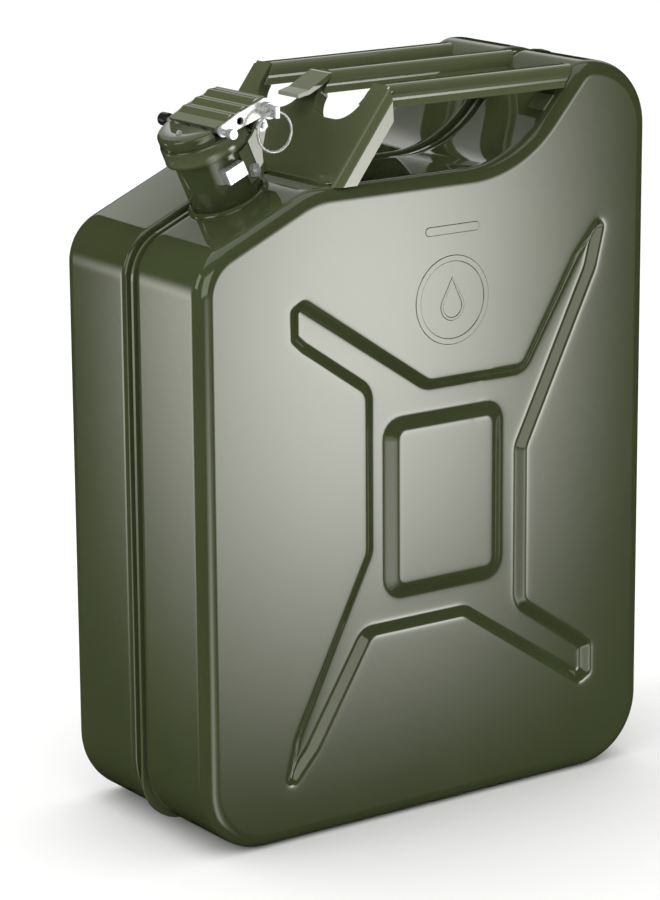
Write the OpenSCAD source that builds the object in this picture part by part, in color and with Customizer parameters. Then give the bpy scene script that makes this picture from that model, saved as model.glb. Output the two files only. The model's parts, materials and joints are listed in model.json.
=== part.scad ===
// Twenty-litre pressed-steel fuel can: two welded half shells, three carrying
// bars and a tilted spout with a cam-lever cap, a locking pin and a pull ring.
// X runs front to rear, Y through the thickness, Z up; the origin is the
// middle of the base.

/* [Body] */
// Length of the body, front to rear
body_length = 345; // [340:1:350]
// Thickness of the body, face to face
body_thick = 155; // [152:1:165]
// Height of the hump, the top of the can
body_height = 470; // [468:1:474]
// Height of the low deck under the carrying bars
deck_height = 411; // [409:1:413]
// Height at which the shoulder's line meets the front wall
shoulder_height = 374; // [372:1:376]
// Slope of the shoulder, and so the tilt of the spout
shoulder_angle = 24; // [23:0.5:25]
// Thickness of the pressed sheet
sheet = 1; // [0.9:0.1:1.2]
// Radius of the edge between a broad face and the narrow sides
edge_radius = 9; // [8:0.5:10]

/* [Corners] */
// Radius of the two bottom corners
bottom_radius = 45; // [40:1:50]
// Radius of the hump's rear corner
hump_rear_radius = 44; // [40:1:46]
// Radius of the hump's front corner
hump_front_radius = 18; // [14:1:20]
// Radius of the hollow between deck and hump
dip_radius = 80; // [70:1:85]
// Radius between shoulder and deck
deck_radius = 60; // [50:1:65]
// Radius of the front top corner
front_radius = 32; // [28:1:36]

/* [Seam] */
// Width of the groove that the weld flange sits in
groove_width = 13; // [12:0.5:15]
// Depth of the groove
groove_depth = 7; // [6:0.5:8]
// Thickness of the two welded flanges together
flange_thick = 2.4; // [2:0.2:3]
// How far the flange stays below the flat sides
flange_set = 1.5; // [1:0.5:3]

/* [Pressing] */
// Depth of the recessed X in the broad faces
press_depth = 6; // [4:0.5:7]
// Width of the recess's sloping walls
wall_run = 7; // [5:0.5:7.5]
// Height of the middle panel above the recess's floor
island_height = 5; // [3:0.5:5]
// Outer diameter of the raised ring mark
ring_mark_d = 56; // [50:1:60]

/* [Spout] */
// Distance of the spout's foot in front of the can's middle
neck_forward = 112; // [110:1:114]
// Distance of the spout from the seam towards the -Y face
neck_side = 18; // [16:1:20]
// Length of the spout from the shoulder to its mouth
neck_length = 44; // [43:1:45]
// Outer radius of the spout
neck_radius = 23; // [22.5:0.1:23]
// Wall of the spout
neck_wall = 1.5; // [1.2:0.1:2]

/* [Handles] */
// Height of the outer bars' upper side
bar_top = 468; // [466:1:468]
// How much higher the middle bar is
middle_rise = 2; // [1:0.5:2]
// Width of each bar
bar_width = 24; // [22:1:26]
// Depth of each bar's channel
bar_depth = 13; // [12:0.5:14]
// Distance between the middles of neighbouring bars
bar_pitch = 62; // [60:1:62]

/* [Hidden] */
$fn = 64;

half_length = body_length / 2;
half_thick = body_thick / 2;
olive = [0.36, 0.4, 0.25];
zinc = [0.75, 0.75, 0.7];
slope = tan(shoulder_angle);
shoulder_end = -half_length + (deck_height - shoulder_height) / slope;
hump_start = 119;
hump_angle = 48.5;
dip_start = hump_start - (body_height - deck_height) / tan(hump_angle);
tiny = 0.05;

// Sharp corners of the side view, each with x, z and its rounding radius
function corners(inset, bottom_r, rear_r) = [
    [-half_length + inset, inset, bottom_r],
    [half_length - inset, inset, bottom_r],
    [half_length - inset, body_height - inset, rear_r],
    [hump_start + inset * tan(hump_angle / 2), body_height - inset, hump_front_radius - inset],
    [dip_start + inset * tan(hump_angle / 2), deck_height - inset, dip_radius + inset],
    [shoulder_end + inset * tan(shoulder_angle / 2), deck_height - inset, deck_radius - inset],
    [-half_length + inset, shoulder_height - inset * (1 - sin(shoulder_angle)) / cos(shoulder_angle),
        front_radius - inset]];

function unit(v) = v / norm(v);
function turn(a, b) = a[0] * b[1] - a[1] * b[0];

// Rounds one corner of a counter-clockwise outline; each point is x, z and the
// outward direction there
function rounded(before, corner, after, steps = 8) =
    let (here = [corner[0], corner[1]],
        into = unit(here - [before[0], before[1]]),
        out = unit([after[0], after[1]] - here),
        side = turn(into, out) > 0 ? 1 : -1,
        swing = acos(into * out),
        r = corner[2],
        start = here - into * r * tan(swing / 2),
        away = [into[1], -into[0]],
        centre = start - away * r * side)
    [for (i = [0:steps])
        let (a = side * swing * i / steps,
            n = [away[0] * cos(a) - away[1] * sin(a), away[0] * sin(a) + away[1] * cos(a)],
            p = centre + n * r * side)
        [p[0], p[1], n[0], n[1]]];

function outline(list) = let (n = len(list))
    [for (i = [0:n - 1]) each rounded(list[(i + n - 1) % n], list[i], list[(i + 1) % n])];

side_view = outline(corners(0, bottom_radius, hump_rear_radius));

// A half body: the side view drawn inwards by different amounts on a row of
// planes across Y, each given as [y, inset]
module lofted(planes) {
    count = len(side_view);
    points = [for (plane = planes) for (p = side_view)
        [p[0] - p[2] * plane[1], plane[0], p[1] - p[3] * plane[1]]];
    skin = [for (k = [0:len(planes) - 2]) for (i = [0:count - 1])
        let (j = (i + 1) % count)
        [k * count + i, k * count + j, (k + 1) * count + j, (k + 1) * count + i]];
    first = [for (i = [count - 1:-1:0]) i];
    last = [for (i = [0:count - 1]) (len(planes) - 1) * count + i];
    polyhedron(points, concat([first, last], skin), convexity = 6);
}

// Planes of the half body's outside, or of its inside when grow is the sheet
function planes(grow, end) = concat(
    [for (i = [0:5]) let (a = i * 18, r = edge_radius - grow)
        [-half_thick + grow + r * (1 - cos(a)), grow + r * (1 - sin(a))]],
    [[-groove_width / 2 - 1 - grow, grow], [-groove_width / 2 - 0.3 - grow, grow + 0.4],
    [-groove_width / 2 - grow, grow + 1.2], [-groove_width / 2 + 0.8 - grow, grow + groove_depth],
    [end, grow + groove_depth]]);

// A cone that cuts into the -Y face: radius r at the surface
module press_cone(x, z, r, grow, depth, run) {
    translate([x, -half_thick - tiny, z])
        rotate([-90, 0, 0])
            cylinder(h = depth + grow + tiny, r1 = r + grow, r2 = max(r + grow - run, 0.4), $fn = 24);
}

x_middle = 12;
z_middle = 202.5;

module half_turn() {
    translate([x_middle, 0, z_middle]) rotate([0, 180, 0]) translate([-x_middle, 0, -z_middle]) children();
}

module shallow_arm(grow) {
    hull() {
        press_cone(-107, 335, 13, grow, press_depth, wall_run);
        press_cone(-6.5, 272.7, 10, grow, press_depth, wall_run);
        press_cone(-50.6, 294.4, 10, grow, press_depth, wall_run);
    }
}

module steep_arm(grow) {
    hull() {
        press_cone(128, 359, 11, grow, press_depth, wall_run);
        press_cone(80, 278, 8, grow, press_depth, wall_run);
        press_cone(67.8, 230.5, 8, grow, press_depth, wall_run);
    }
}

module middle_recess(grow) {
    hull() for (x = [-42, 66], z = [132, 273])
        press_cone(x, z, 8, grow, press_depth, wall_run);
}

// The raised middle panel that stays inside the recess
module island(grow) {
    hull() for (x = [-22.5, 45], z = [156.5, 248.5])
        translate([x, -half_thick + press_depth - island_height + grow, z])
            rotate([-90, 0, 0])
                cylinder(h = island_height + 2, r1 = 3 - grow / 2, r2 = 12.5 - grow / 2, $fn = 24);
}

module x_recess(grow) {
    difference() {
        union() {
            shallow_arm(grow);
            steep_arm(grow);
            half_turn() shallow_arm(grow);
            half_turn() steep_arm(grow);
            middle_recess(grow);
        }
        island(grow);
    }
}

// Raised ring with a drop inside it, and the bar above
module marks() {
    translate([15, -half_thick, 331]) rotate([90, 0, 0]) {
        difference() {
            cylinder(h = 0.8, d = ring_mark_d);
            translate([0, 0, -1]) cylinder(h = 3, d = ring_mark_d - 7);
        }
        cylinder(h = 0.8, r = 8);
    }
    translate([-5, -half_thick - 0.8, 372.5]) cube([40, 1.3, 5]);
}

module to_neck(w = 0) {
    translate([-neck_forward, -neck_side, shoulder_height + (half_length - neck_forward) * slope])
        rotate([0, -shoulder_angle, 0])
            translate([0, 0, w]) children();
}

module neck_hole() {
    to_neck(-12) cylinder(h = 40, r = neck_radius + tiny, $fn = 96);
}

module half_shell() {
    difference() {
        union() {
            difference() {
                lofted(planes(0, -flange_thick / 2));
                x_recess(0);
            }
            marks();
        }
        difference() {
            lofted(planes(sheet, 0.1));
            x_recess(sheet);
        }
    }
}

module near_shell() {
    color(olive) difference() {
        half_shell();
        neck_hole();
    }
}

module far_shell() {
    color(olive) difference() {
        mirror([0, 1, 0]) half_shell();
        neck_hole();
    }
}

module flat_outline(inset, bottom_r, rear_r) {
    polygon([for (p = outline(corners(inset, bottom_r, rear_r))) [p[0], p[1]]]);
}

module seam_flange() {
    reach = groove_depth + sheet;
    color(olive) difference() {
        translate([0, flange_thick / 2, 0]) rotate([90, 0, 0])
            linear_extrude(flange_thick) difference() {
                flat_outline(flange_set, bottom_radius - 15, hump_rear_radius - 14);
                flat_outline(reach, bottom_radius - reach, hump_rear_radius - reach);
            }
        neck_hole();
    }
}

module neck() {
    lip = 2;
    color(olive) to_neck() difference() {
        union() {
            translate([0, 0, -10]) cylinder(h = neck_length + 10, r = neck_radius);
            translate([0, 0, neck_length - 3]) cylinder(h = 3, r = neck_radius + lip);
        }
        translate([0, 0, -11]) cylinder(h = neck_length + 12, r = neck_radius - neck_wall);
    }
}

module neck_weld() {
    color(olive) to_neck() rotate_extrude() {
        translate([neck_radius, 0]) polygon([[0, 0], [3.2, 0], [2.6, 1.3], [1.3, 2.2], [0, 2.6]]);
    }
}

vent_r = 4;
vent_z = 397;
vent_x = -neck_forward + 29;
vent_end = 128;

// Breather: from below the spout back to the air space in the hump
module vent_tube() {
    color(olive) translate([0, -neck_side, 0]) difference() {
        union() {
            translate([vent_x, 0, vent_z]) rotate([0, 90, 0]) cylinder(h = vent_end - vent_x, r = vent_r);
            translate([vent_end, 0, vent_z]) sphere(r = vent_r);
            translate([vent_end, 0, vent_z]) cylinder(h = 56, r = vent_r);
        }
        translate([vent_x - 1, 0, vent_z]) rotate([0, 90, 0]) cylinder(h = vent_end - vent_x + 1, r = vent_r - 1);
        translate([vent_end, 0, vent_z]) cylinder(h = 57, r = vent_r - 1);
    }
}

module vent_clip() {
    color(olive) difference() {
        translate([20, -neck_side - 7, vent_z - 1]) cube([8, 14, deck_height - sheet - vent_z + 1]);
        translate([19, -neck_side, vent_z]) rotate([0, 90, 0]) cylinder(h = 10, r = vent_r);
    }
}

lean = 37;
bracket_x = -72;
bracket_thick = 1.6;
foot_thick = 1.6;
outer_half = bar_pitch + bar_width / 2 + bracket_thick + 0.2;
tongue_half = 11;
bracket_rise = (bar_top - deck_height) / cos(lean);

module to_bracket() {
    translate([bracket_x, 0, deck_height]) rotate([0, lean, 0]) children();
}

cut_low = 43;
cut_half = 24;
cut_radius = 18;
lip_depth = 7;
lip_thick = 1.4;
fold_radius = 5;
flange_depth = 13;

// Finger cut-out in the sheet's plane: x across the can, y up the sheet
module finger_cut(grow) {
    middle = cut_low + cut_radius;
    hull() for (side = [-1, 1])
        translate([side * (cut_half - cut_radius), middle]) circle(r = cut_radius + grow);
    polygon([[-cut_half - grow, middle], [cut_half + grow, middle],
        [cut_half + 2 + grow, bracket_rise + 30], [-cut_half - 2 - grow, bracket_rise + 30]]);
}

module across_sheet(from, depth) {
    translate([from, 0, 0]) rotate([90, 0, 90]) linear_extrude(depth) children();
}

// Outline of the outer edge's fold, seen along the sheet: x to the rear, y outwards
function fold_outline() = let (inner = fold_radius - bracket_thick, middle = outer_half - fold_radius)
    concat([for (a = [180:-15:90]) [fold_radius * (1 + cos(a)), middle + fold_radius * sin(a)]],
        [[flange_depth, outer_half], [flange_depth, outer_half - bracket_thick]],
        [for (a = [90:15:180]) [fold_radius + inner * cos(a), middle + inner * sin(a)]],
        [[bracket_thick, middle - 1], [0, middle - 1]]);

// Leaning front sheet with two finger cut-outs, their rolled lips and the
// folded outer edges
module bracket() {
    sheet_half = outer_half - fold_radius;
    color(olive) difference() {
        to_bracket() {
            across_sheet(0, bracket_thick) difference() {
                polygon([[-sheet_half, -4], [sheet_half, -4], [sheet_half, bracket_rise],
                    [-sheet_half, bracket_rise]]);
                for (side = [-1, 1]) translate([side * bar_pitch / 2, 0]) finger_cut(0);
            }
            for (side = [-1, 1]) across_sheet(bracket_thick - tiny, lip_depth)
                translate([side * bar_pitch / 2, 0]) difference() {
                    finger_cut(lip_thick);
                    finger_cut(0);
                    translate([-40, bracket_rise - 3]) square([80, 60]);
                }
            for (side = [0, 1]) mirror([0, side, 0])
                translate([0, 0, -4]) linear_extrude(bracket_rise + 2) polygon(fold_outline());
        }
        to_bracket() translate([0, 100, 0]) rotate([90, 0, 0]) linear_extrude(200)
            polygon([[bracket_thick, bracket_rise - 3], [20, bracket_rise - 25], [20, bracket_rise + 9],
                [bracket_thick, bracket_rise + 9]]);
        translate([-150, -70, deck_height - 20]) cube([200, 140, 20 + foot_thick]);
        translate([-150, -100, deck_height - 20]) cube([200, 200, 19.2]);
    }
}

module bracket_foot() {
    color(olive) translate([bracket_x - 3, -66, deck_height]) cube([22, 132, foot_thick]);
}

// Everything in front of the bracket's rear face and of its outer folds
module before_bracket() {
    to_bracket() {
        translate([-200 + bracket_thick, -100, -100]) cube([200, 200, 300]);
        for (side = [0, 1]) mirror([0, side, 0])
            translate([-200 + fold_radius, outer_half - fold_radius, -100]) cube([200, 50, 300]);
    }
}

// Everything beyond the hump's sloping front
module beyond_hump() {
    translate([hump_start, 0, body_height]) rotate([0, -hump_angle, 0])
        translate([-200, -100, -200]) cube([400, 200, 200]);
}

// Outline of a bar seen from its end, its upper side at y = 0
function arch(width, shoulder_r, straight, flare, low) = concat(
    [[-width / 2 - flare, low], [-width / 2, -straight]],
    [for (a = [180:-15:90]) [-width / 2 + shoulder_r * (1 + cos(a)), shoulder_r * (sin(a) - 1)]],
    [for (a = [90:-15:0]) [width / 2 + shoulder_r * (cos(a) - 1), shoulder_r * (sin(a) - 1)]],
    [[width / 2, -straight], [width / 2 + flare, low]]);

bar_wall = 1.4;
bar_shoulder = 7.5;
bar_flare = 2;

// Channel open downwards, with round shoulders and flared lower edges
module channel() {
    width = bar_width - 2 * bar_flare;
    straight = bar_depth - 4;
    difference() {
        polygon(arch(width, bar_shoulder, straight, bar_flare, -bar_depth));
        translate([0, -bar_wall])
            polygon(arch(width - 2 * bar_wall, bar_shoulder - bar_wall, straight - bar_wall,
                bar_flare + 0.3, -bar_depth - 1));
    }
}

module bar(y, top) {
    color(olive) difference() {
        translate([-60, y, top]) rotate([90, 0, 90])
            linear_extrude(200) channel();
        before_bracket();
        beyond_hump();
    }
}

// Bent guard in front of the middle bar: a slope ending in a level lip
module handle_tongue() {
    top = bar_top + middle_rise;
    color(olive) difference() {
        translate([0, tongue_half, 0]) rotate([90, 0, 0]) linear_extrude(2 * tongue_half)
            polygon([[-20, top], [-30, top - 1], [-46, top - 10], [-54, top - 12],
                [-54, top - 14.4], [-45, top - 12.6], [-30, top - 5], [-20, top - 4]]);
        to_bracket() translate([0, -100, -100]) cube([200, 200, 300]);
    }
}

module weld_tab(y) {
    color(olive) translate([hump_start, y, body_height]) rotate([0, -hump_angle, 0])
        translate([-39, -8, 0]) cube([12, 16, 1.2]);
}

// Distances behind the spout's axis and above its mouth
hinge_u = 31.7;
hinge_w = -8.5;
pivot_w = 5.9;
pivot_r = 1.9;
lock_u = 33;
lock_w = 2.5;
ear_in = 12;
ear_thick = 3;
fit = 0.04;

module across(u, w, from, to, r) {
    translate([u, to, w]) rotate([90, 0, 0]) cylinder(h = to - from, r = r);
}

// Side plate through the given [u, w, radius] circles, between two v values
module side_plate(circles, from, to) {
    translate([0, to, 0]) rotate([90, 0, 0]) linear_extrude(to - from)
        for (i = [0:len(circles) - 2])
            hull() for (c = [circles[i], circles[i + 1]])
                translate([c[0], c[1]]) circle(r = c[2], $fn = 32);
}

module neck_hinge() {
    color(olive) to_neck(neck_length) difference() {
        union() {
            translate([20, -ear_in - 1, -37]) cube([6.5, 2 * ear_in + 2, 12]);
            for (s = [-1, 1])
                side_plate([[hinge_u, hinge_w, 4.8], [21, -20, 6], [17, -33, 6]],
                    s > 0 ? ear_in : -ear_in - ear_thick, s > 0 ? ear_in + ear_thick : -ear_in);
        }
        translate([0, 0, -60]) cylinder(h = 70, r = neck_radius + 1.5);
        translate([0, 0, -10]) cylinder(h = 20, r = 28);
        across(hinge_u, hinge_w, -30, 30, 2 + fit);
    }
}

// Band round the rear of the spout that carries the hinge's ears
module hinge_strap() {
    color(olive) to_neck(neck_length) difference() {
        translate([0, 0, -34]) cylinder(h = 22, r = neck_radius + 1.5);
        translate([0, 0, -35]) cylinder(h = 24, r = neck_radius);
        translate([-40 + 6, -40, -36]) cube([40, 80, 30]);
    }
}

module strap_nut(s) {
    color(zinc) to_neck(neck_length) translate([0, 0, -28]) rotate([0, 0, s * 62])
        translate([neck_radius + 1.5, 0, 0]) rotate([0, 90, 0]) {
            difference() {
                cylinder(h = 3, r = 4.6, $fn = 6);
                translate([0, 0, -1]) cylinder(h = 5, r = 2.2);
            }
            cylinder(h = 4.5, r = 2.2);
        }
}

module catch_lug(s) {
    color(zinc) to_neck(neck_length) difference() {
        translate([-10, s > 0 ? 0 : -29, -25]) cube([14, 29, 9]);
        translate([0, 0, -30]) cylinder(h = 20, r = neck_radius);
    }
}

module hinge_pin() {
    color(zinc) to_neck(neck_length) {
        across(hinge_u, hinge_w, -20, 17, 2);
        across(hinge_u, hinge_w, 17, 19, 3.6);
    }
}

module hinge_washer() {
    color(zinc) to_neck(neck_length) difference() {
        across(hinge_u, hinge_w, -16.4, -15.1, 4);
        across(hinge_u, hinge_w, -18, -14, 2);
    }
}

module cap_disc() {
    color(olive) to_neck(neck_length) rotate_extrude()
        polygon([[0, 0.8], [12, 0.8], [15, 1.6], [25.8, 1.6], [25.8, -8.5], [26.4, -9.1],
            [27.2, -9.1], [27.2, -8.3], [27, -7.5], [27, 1.4], [26.4, 2.4], [25.4, 2.8],
            [15.5, 2.8], [12.5, 2], [0, 2]]);
}

module cap_gasket() {
    color([0.1, 0.1, 0.1]) to_neck(neck_length) difference() {
        translate([0, 0, 0.05]) cylinder(h = 1.55, r = 25.7);
        translate([0, 0, -1]) cylinder(h = 5, r = 19);
    }
}

yoke_low = 2.8;
yoke_thick = 1.6;
boss_r = 3.1;

// Strap over the cap: bearing for the lever's pin in front, hinge eye behind
module cap_yoke() {
    color(olive) to_neck(neck_length) difference() {
        union() {
            translate([-9, -11, yoke_low]) cube([38.5, 22, yoke_thick]);
            translate([27.3, -11, hinge_w]) cube([2.2, 22, yoke_low - hinge_w + yoke_thick]);
            across(hinge_u, hinge_w, -ear_in + 0.2, ear_in - 0.2, 4.4);
            for (s = [-1, 1]) across(0, pivot_w, s * 9 - 2, s * 9 + 2, boss_r);
        }
        across(hinge_u, hinge_w, -20, 20, 2 + fit);
        across(0, pivot_w, -20, 20, pivot_r + fit);
        translate([14, 0, 0]) cylinder(h = 10, r = 3);
        translate([-20, -20, -20]) cube([40, 40, 20 + yoke_low]);
    }
}

module cap_rivet() {
    color(zinc) to_neck(neck_length) translate([14, 0, yoke_low]) {
        cylinder(h = yoke_thick, r = 3);
        translate([0, 0, yoke_thick]) cylinder(h = 1.2, r1 = 4.5, r2 = 3);
    }
}

plate_half = 25.5;
arm_thick = 2;
plate_low = 9.2;
plate_thick = 1.6;
ridge_pitch = 10;
ridge_count = 3;
ridge_start = 4;

function ridge(u) = u < ridge_start || u > ridge_start + ridge_pitch * ridge_count ? 0
    : 1.6 * pow(sin(180 * (u - ridge_start) / ridge_pitch), 2);

// A sheet across the cap, bent to the outline given as [u, w] points
module bent_sheet(points) {
    color(olive) to_neck(neck_length) translate([0, plate_half, 0]) rotate([90, 0, 0])
        linear_extrude(2 * plate_half) polygon(points);
}

// Fixed front half of the cap's cover: a shallow round dome of sheet
module front_plate() {
    top = plate_low + 0.6;
    color(olive) to_neck(neck_length) difference() {
        rotate_extrude() polygon([[0, top - 1.4], [23, top - 1.4], [24.4, top - 2.2], [24.8, top - 3.6],
            [24.8, yoke_low], [26.2, yoke_low], [26.2, top - 3.4], [25.6, top - 1.4], [24, top], [0, top]]);
        translate([-6, -40, 0]) cube([60, 80, 30]);
    }
}

module front_block() {
    color(olive) to_neck(neck_length) translate([-20, -9, yoke_low])
        cube([10.5, 18, plate_low - 0.8 - yoke_low]);
}

// Thumb plate with cross ridges
module lever_plate() {
    waves = [for (u = [ridge_start:1.25:36]) [u, plate_low + ridge(u)]];
    above = [for (i = [len(waves) - 1:-1:0]) waves[i] + [0, plate_thick]];
    bent_sheet(concat([[-3.5, plate_low]], waves, above, [[-3.5, plate_low + plate_thick]]));
}

module lever_arm(s) {
    from = s > 0 ? plate_half : -plate_half - arm_thick;
    color(zinc) to_neck(neck_length) difference() {
        union() {
            side_plate([[0, pivot_w + 0.8, 3.6], [13, 6.8, 4.4], [lock_u, 5.4, 5]], from, from + arm_thick);
            if (s < 0) across(lock_u, lock_w, from - 3, from + arm_thick, 5);
            if (s > 0) across(lock_u, lock_w, from, from + arm_thick + 3, 5);
        }
        across(0, pivot_w, from - 5, from + 5, pivot_r);
        across(13, 6.4, from - 5, from + 5, 2.4);
        across(lock_u, lock_w, from - 5, from + 6, 2 + fit);
    }
}

module lever_pin() {
    color(zinc) to_neck(neck_length) across(0, pivot_w, -33, 33, pivot_r);
}

module plate_rivet() {
    color(zinc) to_neck(neck_length) translate([-14, 0, plate_low + 0.6])
        cylinder(h = 1, r1 = 2, r2 = 1.2);
}

module knob(s) {
    color([0.08, 0.08, 0.08]) to_neck(neck_length)
        across(0, pivot_w, s > 0 ? 33 : -38, s > 0 ? 40 : -33, s > 0 ? 4.2 : 3);
}

// World place of the locking pin's axis
neck_foot = [-neck_forward, -neck_side, shoulder_height + (half_length - neck_forward) * slope];
lock_at = neck_foot + [lock_u * cos(shoulder_angle) - (neck_length + lock_w) * sin(shoulder_angle), 0,
    lock_u * sin(shoulder_angle) + (neck_length + lock_w) * cos(shoulder_angle)];
lock_face = -plate_half - arm_thick - 3;
ring_radius = 12.2;
ring_wire = 0.9;
tab_hole = 4.5;

module lock_pin() {
    color(zinc) translate(lock_at) difference() {
        union() {
            across(0, 0, lock_face, lock_face + 16, 2);
            across(0, 0, lock_face - 1.5, lock_face, 4);
            translate([-1.5, lock_face - 8, -3.5]) cube([3, 6.5, 7]);
        }
        translate([-3, lock_face - tab_hole, 0]) rotate([0, 90, 0]) cylinder(h = 6, r = 1.3);
    }
}

module lock_ring() {
    color(zinc) translate(lock_at + [0, lock_face - tab_hole, -ring_radius])
        rotate([90, 0, 0]) rotate_extrude() translate([ring_radius, 0]) circle(r = ring_wire);
}

near_shell();
far_shell();
seam_flange();
neck();
neck_weld();
vent_tube();
vent_clip();
bracket();
bracket_foot();
handle_tongue();
bar(-bar_pitch, bar_top);  // handle_near
bar(0, bar_top + middle_rise);  // handle_middle
bar(bar_pitch, bar_top);  // handle_far
weld_tab(-bar_pitch);  // weld_tab_near
weld_tab(0);  // weld_tab_middle
weld_tab(bar_pitch);  // weld_tab_far
neck_hinge();
hinge_strap();
strap_nut(-1);  // strap_nut_near
strap_nut(1);  // strap_nut_far
catch_lug(-1);  // catch_near
catch_lug(1);  // catch_far
hinge_pin();
hinge_washer();
cap_disc();
cap_gasket();
cap_yoke();
cap_rivet();
front_plate();
front_block();
lever_plate();
lever_arm(-1);  // lever_arm_near
lever_arm(1);  // lever_arm_far
lever_pin();
plate_rivet();
knob(-1);  // knob_near
knob(1);  // knob_far
lock_pin();
lock_ring();
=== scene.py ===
import json
import math
import bpy
import bmesh
import numpy as np
from mathutils import Matrix, Vector


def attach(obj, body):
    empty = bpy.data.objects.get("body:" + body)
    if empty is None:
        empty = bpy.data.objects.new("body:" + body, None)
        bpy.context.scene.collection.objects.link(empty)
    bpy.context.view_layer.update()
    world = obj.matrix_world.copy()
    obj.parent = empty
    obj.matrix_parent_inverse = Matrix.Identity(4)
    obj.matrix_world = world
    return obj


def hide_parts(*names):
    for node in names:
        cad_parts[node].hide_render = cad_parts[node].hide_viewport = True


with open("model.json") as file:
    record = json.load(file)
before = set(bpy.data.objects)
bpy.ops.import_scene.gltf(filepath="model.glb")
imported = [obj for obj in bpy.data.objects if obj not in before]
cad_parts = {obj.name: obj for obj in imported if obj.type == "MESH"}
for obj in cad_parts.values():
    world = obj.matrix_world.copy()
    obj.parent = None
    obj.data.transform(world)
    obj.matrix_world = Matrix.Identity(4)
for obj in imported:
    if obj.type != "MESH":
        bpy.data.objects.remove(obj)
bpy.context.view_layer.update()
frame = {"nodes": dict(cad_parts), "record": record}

# ---------------------------------------------------------------- dimensions
# The same driving sizes as the CAD model, in metres.
LENGTH, THICK, HEIGHT = 0.345, 0.155, 0.470
DECK, SHOULDER = 0.411, 0.374
SHOULDER_ANGLE = math.radians(24)
HUMP_ANGLE = math.radians(48.5)
HUMP_START = 0.119
EDGE_RADIUS = 0.009
GROOVE_WIDTH, GROOVE_DEPTH, FLANGE = 0.013, 0.007, 0.0024
NECK_FORWARD, NECK_SIDE = 0.112, 0.018
NECK_RADIUS, NECK_WALL, NECK_LENGTH = 0.023, 0.0015, 0.044
NECK_FOOT = Vector((-NECK_FORWARD, -NECK_SIDE,
                    SHOULDER + (LENGTH / 2 - NECK_FORWARD) * math.tan(SHOULDER_ANGLE)))
NECK_ASIDE = Vector((math.cos(SHOULDER_ANGLE), 0, math.sin(SHOULDER_ANGLE)))
NECK_UP = Vector((-math.sin(SHOULDER_ANGLE), 0, math.cos(SHOULDER_ANGLE)))

# The pressed X, its middle panel and the raised marks, as (x, z) on a broad face
PRESS_DEPTH, WALL_RUN, WALL_BEND = 0.0046, 0.0058, 0.0009
ISLAND_HEIGHT, ISLAND_RUN, ISLAND_BEND = 0.0042, 0.0085, 0.0010
ISLAND_X, ISLAND_Z, ISLAND_ROUND = (-0.035, 0.0575), (0.144, 0.261), 0.014
MIDDLE = np.array([0.012, 0.2025])
RING, RING_RADIUS, RING_BAND = np.array([0.015, 0.331]), 0.0280, 0.0032
BAR_MARK_Z, BAR_MARK_HALF, BAR_MARK_ROUND = 0.3758, (0.0205, 0.0025), 0.0024
DROP_BOWL, DROP_TIP, DROP_BAND = 0.0088, 0.0185, 0.0014
MARK_RISE, MARK_SLOPE, MARK_SINK = 0.00035, 0.0006, 0.0001


# ------------------------------------------------------------------ outlines
def rounded(points, steps=10):
    """Rounds each (x, z, radius) corner of a counter-clockwise outline with an arc."""
    out = []
    for i, (x, z, r) in enumerate(points):
        here = np.array([x, z])
        before = np.array(points[i - 1][:2])
        after = np.array(points[(i + 1) % len(points)][:2])
        into = (here - before) / np.linalg.norm(here - before)
        leave = (after - here) / np.linalg.norm(after - here)
        side = 1 if into[0] * leave[1] - into[1] * leave[0] > 0 else -1
        swing = math.acos(float(np.clip(into @ leave, -1, 1)))
        start = here - into * r * math.tan(swing / 2)
        away = np.array([into[1], -into[0]])
        centre = start - away * r * side
        for k in range(steps + 1):
            a = side * swing * k / steps
            spoke = np.array([away[0] * math.cos(a) - away[1] * math.sin(a),
                              away[0] * math.sin(a) + away[1] * math.cos(a)])
            out.append(centre + spoke * r * side)
    return np.array(out)


def side_view():
    """The can's outline seen from a broad face."""
    dip = HUMP_START - (HEIGHT - DECK) / math.tan(HUMP_ANGLE)
    shoulder_end = -LENGTH / 2 + (DECK - SHOULDER) / math.tan(SHOULDER_ANGLE)
    corners = [(-LENGTH / 2, 0, 0.045), (LENGTH / 2, 0, 0.045), (LENGTH / 2, HEIGHT, 0.044),
               (HUMP_START, HEIGHT, 0.018), (dip, DECK, 0.080), (shoulder_end, DECK, 0.060),
               (-LENGTH / 2, SHOULDER, 0.032)]
    return rounded(corners, 24)


def evenly(points, count):
    """The closed outline resampled to count points, with the outward direction at each."""
    ring = np.vstack([points, points[:1]])
    run = np.concatenate([[0], np.cumsum(np.linalg.norm(np.diff(ring, axis=0), axis=1))])
    at = np.linspace(0, run[-1], count, endpoint=False)
    p = np.column_stack([np.interp(at, run, ring[:, 0]), np.interp(at, run, ring[:, 1])])
    t = np.roll(p, -1, axis=0) - np.roll(p, 1, axis=0)
    t /= np.linalg.norm(t, axis=1)[:, None]
    return p, np.column_stack([t[:, 1], -t[:, 0]])


def distance(p, outline):
    """Signed distance of points p to a closed outline, negative inside."""
    best = np.full(len(p), 1e9)
    inside = np.zeros(len(p), bool)
    for a, b in zip(outline, np.roll(outline, -1, axis=0)):
        e = b - a
        w = p - a
        t = np.clip((w @ e) / (e @ e), 0, 1)
        best = np.minimum(best, np.linalg.norm(w - t[:, None] * e, axis=1))
        crosses = (a[1] > p[:, 1]) != (b[1] > p[:, 1])
        rise = e[1] if abs(e[1]) > 1e-12 else 1e-12
        inside ^= crosses & (p[:, 0] < a[0] + (p[:, 1] - a[1]) * e[0] / rise)
    return np.where(inside, -best, best)


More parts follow.
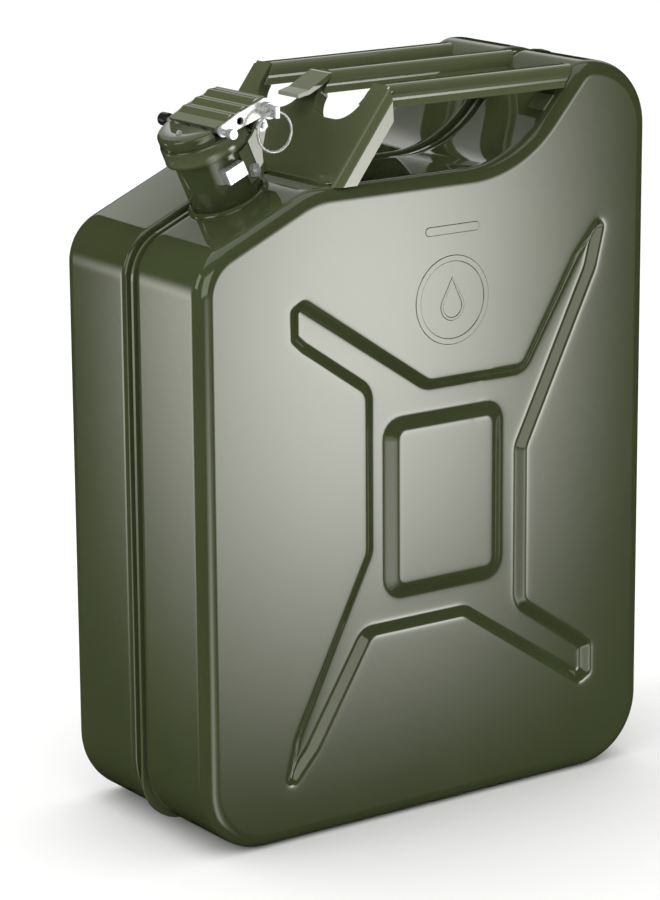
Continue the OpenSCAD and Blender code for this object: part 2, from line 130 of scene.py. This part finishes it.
def recess_outline():
    """Edge of the pressed X on the -Y face, the same after half a turn about its middle."""
    half = [(0.0745, 0.2270, 0.012), (0.0745, 0.1250, 0.010), (0.1225, 0.0920, 0.006),
            (0.1300, 0.0850, 0.004), (0.1300, 0.0650, 0.004), (0.1210, 0.0600, 0.004),
            (0.0260, 0.1235, 0.012), (-0.0480, 0.1235, 0.009), (-0.0900, 0.0560, 0.030),
            (-0.1165, 0.0270, 0.004), (-0.1060, 0.0680, 0.030)]
    other_half = [(2 * MIDDLE[0] - x, 2 * MIDDLE[1] - z, r) for x, z, r in half]
    return rounded(list(reversed(half + other_half)), 6)


def sheet_wall(d, run, bend):
    """Rises from 0 to run over the distance d, as a straight slope with a soft bend at each end."""
    def soft_clip(v, k):
        return 0.5 * (v + np.sqrt(v * v + k * k))
    low = soft_clip(d, bend)
    return low - soft_clip(d - run, bend)


def face_depth(p):
    """How far the -Y face is pressed in at points p (x, z)."""
    inside = -distance(p, recess_outline())
    pressed = sheet_wall(inside, WALL_RUN, WALL_BEND) / WALL_RUN * PRESS_DEPTH
    (left, right), (low, high) = ISLAND_X, ISLAND_Z
    foot = rounded([(left, low, ISLAND_ROUND), (right, low, ISLAND_ROUND),
                    (right, high, ISLAND_ROUND), (left, high, ISLAND_ROUND)], 6)
    raised = sheet_wall(-distance(p, foot), ISLAND_RUN, ISLAND_BEND) / ISLAND_RUN * ISLAND_HEIGHT
    return pressed - raised


# -------------------------------------------------------------------- meshes
def new_mesh(name, verts, faces, smooth=True):
    mesh = bpy.data.meshes.new(name)
    mesh.from_pydata([tuple(v) for v in verts], [], faces)
    mesh.validate()
    mesh.update()
    if smooth:
        mesh.polygons.foreach_set("use_smooth", [True] * len(mesh.polygons))
    obj = bpy.data.objects.new(name, mesh)
    bpy.context.scene.collection.objects.link(obj)
    return obj


def shell_skin(name, side, around, across, wide):
    """One pressed half: side is -1 for the -Y half and 1 for the +Y half; around, across and wide
    are the counts of points round the outline, rows over the broad face and rows over the rim."""
    ring, out = evenly(side_view(), around)
    rows = []
    # the broad face, from its middle out to where the edge's arc begins
    rim = ring - out * EDGE_RADIUS
    for k in range(1, across + 1):
        t = k / across
        p = MIDDLE + (rim - MIDDLE) * t
        rows.append(np.column_stack([p[:, 0], -THICK / 2 + face_depth(p), p[:, 1]]))
    # the edge's arc, the flat rim and the lip of the groove
    for a in np.linspace(0, math.pi / 2, 9)[1:]:
        inset = EDGE_RADIUS * (1 - math.sin(a))
        y = -THICK / 2 + EDGE_RADIUS * (1 - math.cos(a))
        p = ring - out * inset
        rows.append(np.column_stack([p[:, 0], np.full(around, y), p[:, 1]]))
    edge = -GROOVE_WIDTH / 2
    start = EDGE_RADIUS - THICK / 2
    for y in np.linspace(start, edge - 0.0030, wide + 1)[1:-1]:
        rows.append(np.column_stack([ring[:, 0], np.full(around, y), ring[:, 1]]))
    lip = [(edge - 0.0030, 0), (edge - 0.0018, 0.0001), (edge - 0.0009, 0.0005),
           (edge - 0.0003, 0.0012), (edge, 0.0022), (edge + 0.0006, GROOVE_DEPTH - 0.001),
           (edge + 0.0014, GROOVE_DEPTH), (-FLANGE / 2, GROOVE_DEPTH)]
    for y, inset in lip:
        p = ring - out * inset
        rows.append(np.column_stack([p[:, 0], np.full(around, y), p[:, 1]]))
    middle = np.array([[MIDDLE[0], -THICK / 2 + face_depth(MIDDLE[None])[0], MIDDLE[1]]])
    verts = np.vstack([middle] + rows)
    verts[:, 1] *= -side
    faces = []
    for i in range(around):
        j = (i + 1) % around
        faces.append((0, 1 + j, 1 + i) if side < 0 else (0, 1 + i, 1 + j))
        for k in range(len(rows) - 1):
            a, b = 1 + k * around + i, 1 + k * around + j
            quad = (a, b, b + around, a + around)
            faces.append(quad if side < 0 else quad[::-1])
    # leave out what the spout's tube covers
    up = np.array(NECK_UP)
    rel = verts - np.array(NECK_FOOT)
    along = rel @ up
    off = np.linalg.norm(rel - along[:, None] * up, axis=1)
    gone = (off < NECK_RADIUS - 0.0006) & (np.abs(along) < 0.02)
    faces = [f for f in faces if not any(gone[v] for v in f)]
    obj = new_mesh(name, verts, faces)
    bm = bmesh.new()
    bm.from_mesh(obj.data)
    bmesh.ops.delete(bm, geom=[v for v in bm.verts if not v.link_faces], context="VERTS")
    bm.to_mesh(obj.data)
    bm.free()
    return obj


def turned(name, profile, height, body, nodes, front_only=None):
    """A sheet part turned about the spout's axis; profile is a closed list of (radius, along), and
    front_only cuts away all that lies further back than it."""
    steps = 160
    verts = []
    for k in range(steps):
        a = 2 * math.pi * k / steps
        for radius, along in profile:
            u, v = radius * math.cos(a), radius * math.sin(a)
            verts.append(NECK_FOOT + NECK_ASIDE * u + Vector((0, v, 0)) + NECK_UP * (height + along))
    n = len(profile)
    faces = [(k * n + i, k * n + (i + 1) % n, (k + 1) % steps * n + (i + 1) % n,
              (k + 1) % steps * n + i) for k in range(steps) for i in range(n)]
    obj = new_mesh(name, verts, faces)
    if front_only is not None:
        bm = bmesh.new()
        bm.from_mesh(obj.data)
        bmesh.ops.bisect_plane(bm, geom=bm.verts[:] + bm.edges[:] + bm.faces[:],
                               plane_co=NECK_FOOT + NECK_ASIDE * front_only,
                               plane_no=NECK_ASIDE, clear_outer=True)
        bmesh.ops.holes_fill(bm, edges=[e for e in bm.edges if e.is_boundary])
        bm.to_mesh(obj.data)
        bm.free()
    dress(obj, body, OLIVE, nodes)


def embossed(name, side, outline, band=None):
    """A low raised line, or a filled shape if it has no band width, on a broad face; the outline
    gives (x, z) points in order."""
    along = np.roll(outline, -1, axis=0) - np.roll(outline, 1, axis=0)
    along /= np.linalg.norm(along, axis=1)[:, None]
    out = np.column_stack([along[:, 1], -along[:, 0]])
    loops = [(MARK_SLOPE, -MARK_SINK), (0.0, MARK_RISE)]
    if band:
        loops += [(-band, MARK_RISE), (-band - MARK_SLOPE, -MARK_SINK)]
    n = len(outline)
    verts = []
    for off, up in loops:
        p = outline + out * off
        verts.append(np.column_stack([p[:, 0], np.full(n, side * (THICK / 2 + up)), p[:, 1]]))
    faces = []
    for k in range(len(loops) - 1):
        for i in range(n):
            j = (i + 1) % n
            faces.append((k * n + i, k * n + j, (k + 1) * n + j, (k + 1) * n + i)[::-side])
    if not band:
        faces.append(tuple(range(n, 2 * n))[::-side])
    obj = new_mesh(name, np.vstack(verts), faces, smooth=False)
    dress(obj, "can", OLIVE)


def drop_outline():
    """A drop: a round bowl running up into a point."""
    lean = math.degrees(math.acos(DROP_BOWL / DROP_TIP))
    angles = np.radians(np.linspace(90 + lean, 450 - lean, 40))
    bowl = np.column_stack([DROP_BOWL * np.cos(angles), DROP_BOWL * np.sin(angles)])
    return np.vstack([bowl, [[0.0, DROP_TIP]]]) + RING - np.array([0, 0.004])


def build_marks():
    turns = np.linspace(0, 2 * math.pi, 120, endpoint=False)
    circle = np.column_stack([np.cos(turns), np.sin(turns)])
    wide, high = BAR_MARK_HALF
    pill = rounded([(RING[0] + x * wide, BAR_MARK_Z + z * high, BAR_MARK_ROUND)
                    for x, z in ((-1, -1), (1, -1), (1, 1), (-1, 1))])
    for where, side in (("near", -1), ("far", 1)):
        embossed("ring_mark_" + where, side, RING + RING_RADIUS * circle, RING_BAND)
        embossed("bar_mark_" + where, side, pill)
        embossed("drop_mark_" + where, side, drop_outline(), DROP_BAND)


# ----------------------------------------------------------------- materials
def nodes_of(name):
    mat = bpy.data.materials.new(name)
    mat.use_nodes = True
    tree = mat.node_tree
    return mat, tree, tree.nodes["Principled BSDF"]


def noise(tree, coords, scale, detail=4.0, rough=0.55):
    n = tree.nodes.new("ShaderNodeTexNoise")
    n.inputs["Scale"].default_value = scale
    n.inputs["Detail"].default_value = detail
    n.inputs["Roughness"].default_value = rough
    tree.links.new(coords, n.inputs["Vector"])
    return n.outputs["Fac"]


def spread(tree, value, low, high, to_low, to_high):
    m = tree.nodes.new("ShaderNodeMapRange")
    m.inputs["From Min"].default_value = low
    m.inputs["From Max"].default_value = high
    m.inputs["To Min"].default_value = to_low
    m.inputs["To Max"].default_value = to_high
    tree.links.new(value, m.inputs["Value"])
    return m.outputs["Result"]


def mixed(tree, factor, a, b):
    m = tree.nodes.new("ShaderNodeMix")
    m.data_type = "RGBA"
    tree.links.new(factor, m.inputs["Factor"])
    for socket, value in ((m.inputs["A"], a), (m.inputs["B"], b)):
        if isinstance(value, tuple):
            socket.default_value = value
        else:
            tree.links.new(value, socket)
    return m.outputs["Result"]


def bumped(tree, bsdf, height, strength, size):
    b = tree.nodes.new("ShaderNodeBump")
    b.inputs["Strength"].default_value = strength
    b.inputs["Distance"].default_value = size
    tree.links.new(height, b.inputs["Height"])
    tree.links.new(b.outputs["Normal"], bsdf.inputs["Normal"])


def edges(tree, low, high):
    g = tree.nodes.new("ShaderNodeNewGeometry")
    return spread(tree, g.outputs["Pointiness"], low, high, 0.0, 1.0)


def enamel(name, colour, dark, light):
    """Glossy stoved enamel: slight tone changes, orange peel, faint dust and a lighter olive along sharp
    convex edges.
    """
    mat, tree, bsdf = nodes_of(name)
    at = tree.nodes.new("ShaderNodeTexCoord").outputs["Object"]
    cloud = spread(tree, noise(tree, at, 9.0, 5.0), 0.35, 0.68, 0.0, 1.0)
    base = mixed(tree, cloud, dark, colour)
    # a lighter olive mixed in along sharp convex edges, where the mesh's pointiness is high
    convex_edge_tone = edges(tree, 0.53, 0.62)
    tone = mixed(tree, convex_edge_tone, base, light)
    tree.links.new(tone, bsdf.inputs["Base Color"])
    gloss = spread(tree, noise(tree, at, 26.0, 6.0, 0.6), 0.3, 0.7, 0.03, 0.055)
    tree.links.new(gloss, bsdf.inputs["Roughness"])
    bsdf.inputs["Coat Weight"].default_value = 0.35
    bsdf.inputs["Coat Roughness"].default_value = 0.03
    bsdf.inputs["IOR"].default_value = 1.55
    peel = noise(tree, at, 150.0, 2.0)
    bumped(tree, bsdf, peel, 0.03, 0.0003)
    return mat


def plated(name, colour, worn, rough_low, rough_high):
    """Zinc-plated steel with fine brushing and spots."""
    mat, tree, bsdf = nodes_of(name)
    at = tree.nodes.new("ShaderNodeTexCoord").outputs["Object"]
    spots = spread(tree, noise(tree, at, 180.0, 4.0), 0.4, 0.7, 0.0, 1.0)
    tree.links.new(mixed(tree, spots, colour, worn), bsdf.inputs["Base Color"])
    tree.links.new(spread(tree, noise(tree, at, 600.0, 3.0), 0.3, 0.7, rough_low, rough_high),
                   bsdf.inputs["Roughness"])
    bsdf.inputs["Metallic"].default_value = 0.65
    bumped(tree, bsdf, noise(tree, at, 900.0, 3.0), 0.04, 0.0002)
    return mat


def moulded(name, colour, light, rough_low, rough_high, bump):
    """Black enamel or rubber with fine grain."""
    mat, tree, bsdf = nodes_of(name)
    at = tree.nodes.new("ShaderNodeTexCoord").outputs["Object"]
    grain = noise(tree, at, 700.0, 4.0)
    tree.links.new(mixed(tree, spread(tree, grain, 0.4, 0.7, 0.0, 1.0), colour, light),
                   bsdf.inputs["Base Color"])
    tree.links.new(spread(tree, noise(tree, at, 120.0, 4.0), 0.3, 0.7, rough_low, rough_high),
                   bsdf.inputs["Roughness"])
    bumped(tree, bsdf, grain, bump, 0.0003)
    return mat


OLIVE = enamel("olive_enamel",
               (0.046, 0.057, 0.024, 1), (0.039, 0.048, 0.020, 1), (0.078, 0.090, 0.044, 1))
ZINC = plated("zinc_plate", (0.56, 0.57, 0.58, 1), (0.50, 0.51, 0.52, 1), 0.22, 0.32)
BLACK = moulded("black_enamel",
                (0.010, 0.010, 0.010, 1), (0.022, 0.022, 0.020, 1), 0.18, 0.35, 0.05)
RUBBER = moulded("black_rubber",
                 (0.014, 0.014, 0.014, 1), (0.030, 0.030, 0.028, 1), 0.55, 0.8, 0.3)
FINISH = {"olive_paint": OLIVE, "zinc_plate": ZINC, "black_enamel": BLACK, "black_rubber": RUBBER}
SLOT_OF = {s["node"]: s["material_slot"] for s in frame["record"]["subparts"]}


def finish_node(node):
    obj = frame["nodes"][node]
    obj.data.materials.clear()
    obj.data.materials.append(FINISH[SLOT_OF[node]])
    obj.data.polygons.foreach_set("use_smooth", [True] * len(obj.data.polygons))


def soften(node, width):
    """Rounds a CAD node's edges a little."""
    obj = frame["nodes"][node]
    bevel = obj.modifiers.new("round", "BEVEL")
    bevel.width = width
    bevel.segments = 2
    bevel.limit_method = "ANGLE"
    bevel.angle_limit = math.radians(35)
    bevel.harden_normals = True


def dress(obj, body, material, replaced=()):
    obj.data.materials.clear()
    obj.data.materials.append(material)
    if replaced:
        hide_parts(*replaced)
    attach(obj, body)


# -------------------------------------------------------------------- pieces
def build_shells():
    around, across, wide = ((880, 260, 30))
    for name, side, node in (("near_skin", -1, "near_shell"), ("far_skin", 1, "far_shell")):
        skin = shell_skin(name, side, around, across, wide)
        dress(skin, "can", OLIVE, [node])


def arc(centre, radius, start, end, steps=5):
    return [(centre[0] + radius * math.cos(a), centre[1] + radius * math.sin(a))
            for a in np.radians(np.linspace(start, end, steps))]


def build_turned_parts():
    outer, inner = NECK_RADIUS, NECK_RADIUS - NECK_WALL
    turned("neck_tube", [(outer, -0.010), (outer, 0.020), (outer, NECK_LENGTH - 0.001)]
           + arc((outer - NECK_WALL / 2, NECK_LENGTH - NECK_WALL / 2), NECK_WALL / 2, 0, 180)
           + [(inner, NECK_LENGTH - 0.001), (inner, 0.0), (inner, -0.010)], 0, "can", ["neck"])
    turned("weld_bead", [(outer - 0.0004, -0.0005), (0.0264, -0.0005), (0.0258, 0.0009), (0.0249, 0.0018),
                         (0.0240, 0.0023), (outer - 0.0004, 0.0026)], 0, "can", ["neck_weld"])
    turned("cap_shell", [(0.0, 0.0008), (0.012, 0.0008), (0.015, 0.0016), (0.0258, 0.0016),
                         (0.0258, -0.0085)]
           + arc((0.02665, -0.0086), 0.0006, 180, 380, 7) + [(0.0270, -0.0072), (0.0270, 0.00065)]
           + arc((0.0250, 0.00065), 0.0020, 0, 90, 7)
           + [(0.0155, 0.00265), (0.0125, 0.0020), (0.0, 0.0020)],
           NECK_LENGTH, "cap", ["cap_disc"])
    turned("front_dome", [(0.0, 0.0084), (0.0230, 0.0084), (0.0244, 0.0076), (0.0248, 0.0062),
                          (0.0248, 0.0028), (0.0262, 0.0028), (0.0262, 0.0062)]
           + arc((0.0240, 0.0076), 0.0022, 0, 90, 7)
           + [(0.0, 0.0098)], NECK_LENGTH, "cap", ["front_plate"], front_only=-0.006)


def finish_cad():
    replaced = {"near_shell", "far_shell", "neck", "neck_weld", "cap_disc", "front_plate"}
    for node in frame["nodes"]:
        if node in replaced:
            continue
        finish_node(node)
        soften(node, 0.0004)


# -------------------------------------------------------------------- studio
VIEW_AZIMUTH = math.radians(-35.25)
VIEW_ELEVATION = math.radians(14.41)
VIEW_ROLL = math.radians(-0.4)
VIEW_DISTANCE = 2.250
VIEW_SIDE, VIEW_RISE = 0.01974, 0.00888
LENS = 139.6
VIEW_TARGET = Vector((0, 0, 0.23))


def heading(azimuth, elevation):
    """The direction at an azimuth, turned from +Y towards +X, and an elevation."""
    return Vector((math.sin(azimuth) * math.cos(elevation), math.cos(azimuth) * math.cos(elevation),
                   math.sin(elevation)))


def floor_and_backdrop():
    """A pale floor that curves up into a wall behind the can, as the camera sees it."""
    rows = []
    for k in range(13):
        a = math.pi / 2 * k / 12
        rows.append((3.0 + 1.5 * math.sin(a), 1.5 * (1 - math.cos(a))))
    line = [(-6.0, 0.0), (0.0, 0.0)] + rows + [(4.5, 6.0)]
    back = heading(-VIEW_AZIMUTH, 0)
    across = Vector((back.y, -back.x, 0))
    verts = []
    for run, up in line:
        for s in (-7, 7):
            verts.append(back * run + across * s + Vector((0, 0, up - 0.0002)))
    faces = [(2 * i, 2 * i + 1, 2 * i + 3, 2 * i + 2) for i in range(len(line) - 1)]
    obj = new_mesh("studio_floor", verts, faces)
    mat, tree, bsdf = nodes_of("studio_white")
    bsdf.inputs["Base Color"].default_value = (0.9, 0.9, 0.9, 1)
    bsdf.inputs["Roughness"].default_value = 0.9
    obj.data.materials.append(mat)
    obj.visible_glossy = False


def softbox(name, at, towards, size, power, colour=(1, 1, 1)):
    light = bpy.data.lights.new(name, "AREA")
    light.shape = "RECTANGLE"
    light.size, light.size_y = size
    light.energy = power
    light.color = colour
    obj = bpy.data.objects.new(name, light)
    obj.location = at
    obj.rotation_euler = (Vector(towards) - Vector(at)).to_track_quat("-Z", "Y").to_euler()
    bpy.context.scene.collection.objects.link(obj)


def reflector(name, place, across, up, shade, colour, power):
    """A glowing card seen only in reflections: place(a, b) gives its points and shade(a, b) its
    brightness, for every a in across and b in up."""
    verts = [place(a, b) for b in up for a in across]
    n = len(across)
    faces = [(k * n + i, k * n + i + 1, (k + 1) * n + i + 1, (k + 1) * n + i)
             for k in range(len(up) - 1) for i in range(n - 1)]
    obj = new_mesh(name, verts, faces)
    glow = obj.data.color_attributes.new("glow", "FLOAT_COLOR", "POINT")
    for item, (b, a) in zip(glow.data, ((b, a) for b in up for a in across)):
        item.color = tuple(float(c * shade(a, b)) for c in colour) + (1.0,)
    mat = bpy.data.materials.new(name)
    mat.use_nodes = True
    tree = mat.node_tree
    tree.nodes.clear()
    source = tree.nodes.new("ShaderNodeAttribute")
    source.attribute_name = "glow"
    shine = tree.nodes.new("ShaderNodeEmission")
    shine.inputs["Strength"].default_value = power
    tree.links.new(source.outputs["Color"], shine.inputs["Color"])
    tree.links.new(shine.outputs["Emission"], tree.nodes.new("ShaderNodeOutputMaterial").inputs["Surface"])
    obj.data.materials.append(mat)
    obj.visible_camera = False
    obj.visible_diffuse = False
    obj.visible_shadow = False


def camera():
    back = heading(math.pi - VIEW_AZIMUTH, VIEW_ELEVATION)
    right = (-back).cross(Vector((0, 0, 1))).normalized()
    up = right.cross(-back)
    right_r = right * math.cos(VIEW_ROLL) + up * math.sin(VIEW_ROLL)
    up_r = up * math.cos(VIEW_ROLL) - right * math.sin(VIEW_ROLL)
    cam = bpy.data.cameras.new("camera")
    cam.lens = LENS
    cam.sensor_width = 36
    cam.clip_end = 50
    obj = bpy.data.objects.new("camera", cam)
    where = VIEW_TARGET + back * VIEW_DISTANCE - right_r * VIEW_SIDE - up_r * VIEW_RISE
    turn = Matrix((right_r, up_r, back)).transposed()
    obj.matrix_world = Matrix.Translation(where) @ turn.to_4x4()
    bpy.context.scene.collection.objects.link(obj)
    bpy.context.scene.camera = obj


def soft_panel(name, middle, across, half_width, half_height, power):
    """A plain upright white panel, brightest in its middle and fading evenly to its edges."""
    def fade(t):
        return 0.5 + 0.5 * math.cos(math.pi * t)
    steps = list(np.linspace(-1, 1, 33))
    reflector(name, lambda a, b: (Vector(middle) + Vector(across) * (a * half_width)
                                  + Vector((0, 0, b * half_height))),
              steps, steps, lambda a, b: fade(a) * fade(b), (1.0, 0.99, 0.93), power)


def lights():
    """Soft lights, and a white world that lights the can but is not mirrored in it."""
    world = bpy.data.worlds.new("world")
    bpy.context.scene.world = world
    bpy.context.scene.view_settings.view_transform = "Standard"
    world.use_nodes = True
    background = world.node_tree.nodes["Background"]
    background.inputs["Color"].default_value = (1.0, 1.0, 0.98, 1)
    background.inputs["Strength"].default_value = 1.14
    world.cycles_visibility.glossy = False
    softbox("top_softbox", (-0.4, 0.5, 3.4), (0, 0, 0.1), (3.6, 3.6), 34)
    softbox("left_softbox", (-2.6, 0.6, 1.3), (0, 0, 0.25), (1.2, 1.2), 9)
    softbox("rear_strip", (1.9, 2.4, 1.75), (0, 0, 0.4), (2.6, 0.16), 2)


def cards():
    """The glowing cards that the enamel mirrors, placed from the camera's own position."""
    eye = bpy.context.scene.camera.matrix_world.translation
    behind = (eye - VIEW_TARGET).normalized()
    aside = Vector((behind.y, -behind.x, 0)).normalized()
    reflector("eye_card", lambda a, b: eye + behind * 0.3 + aside * a + Vector((0, 0, b)),
              [-1.1, -0.8, 0.0, 0.8, 1.1], [-0.9, -0.65, 0.0, 0.65, 0.9],
              lambda a, b: 1.0 if abs(a) < 0.9 and abs(b) < 0.7 else 0.0, (1.0, 1.0, 0.86), 1.9)
    # close behind, so that the bars and the hump mirror it but the lower deck does not; dim
    # higher up, for the shoulder
    reflector("back_card", lambda a, b: Vector((0, 0, 0.4)) + 0.6 * heading(a - VIEW_AZIMUTH, b),
              list(np.radians(np.linspace(-40, 40, 20))), list(np.radians(np.linspace(16, 62, 47))),
              lambda a, b: np.interp(math.degrees(b), [17.5, 19.5, 26, 33, 52, 62], [0, 1, 1, 0.45, 0.45, 0]),
              (1.0, 1.0, 0.98), 0.9)
    # in front and below, for the tilted spout and cap
    reflector("low_card", lambda a, b: Vector((-0.12, -0.02, 0.44)) + 2 * heading(a + math.pi, b),
              list(np.radians(np.linspace(-22, 40, 14))), list(np.radians(np.linspace(-62, -8, 20))),
              lambda a, b: (np.interp(math.degrees(a), [-22, -4, 14, 28, 40], [0, 0.25, 1, 0.5, 0])
                            * np.interp(math.degrees(b), [-62, -52, -20, -8], [0, 1, 1, 0])),
              (1.0, 1.0, 0.9), 2.6)
    # plain soft panels in front and at the side, for the broad and the narrow faces
    soft_panel("front_panel", (0.75, -1.2, 0.05), (1, 0, 0), 0.42, 0.60, 8)
    soft_panel("side_panel", (-1.5, 1.85, -0.10), (0, 1, 0), 0.50, 0.75, 3)


camera()
floor_and_backdrop()
lights()
cards()
build_shells()
build_marks()
build_turned_parts()
finish_cad()
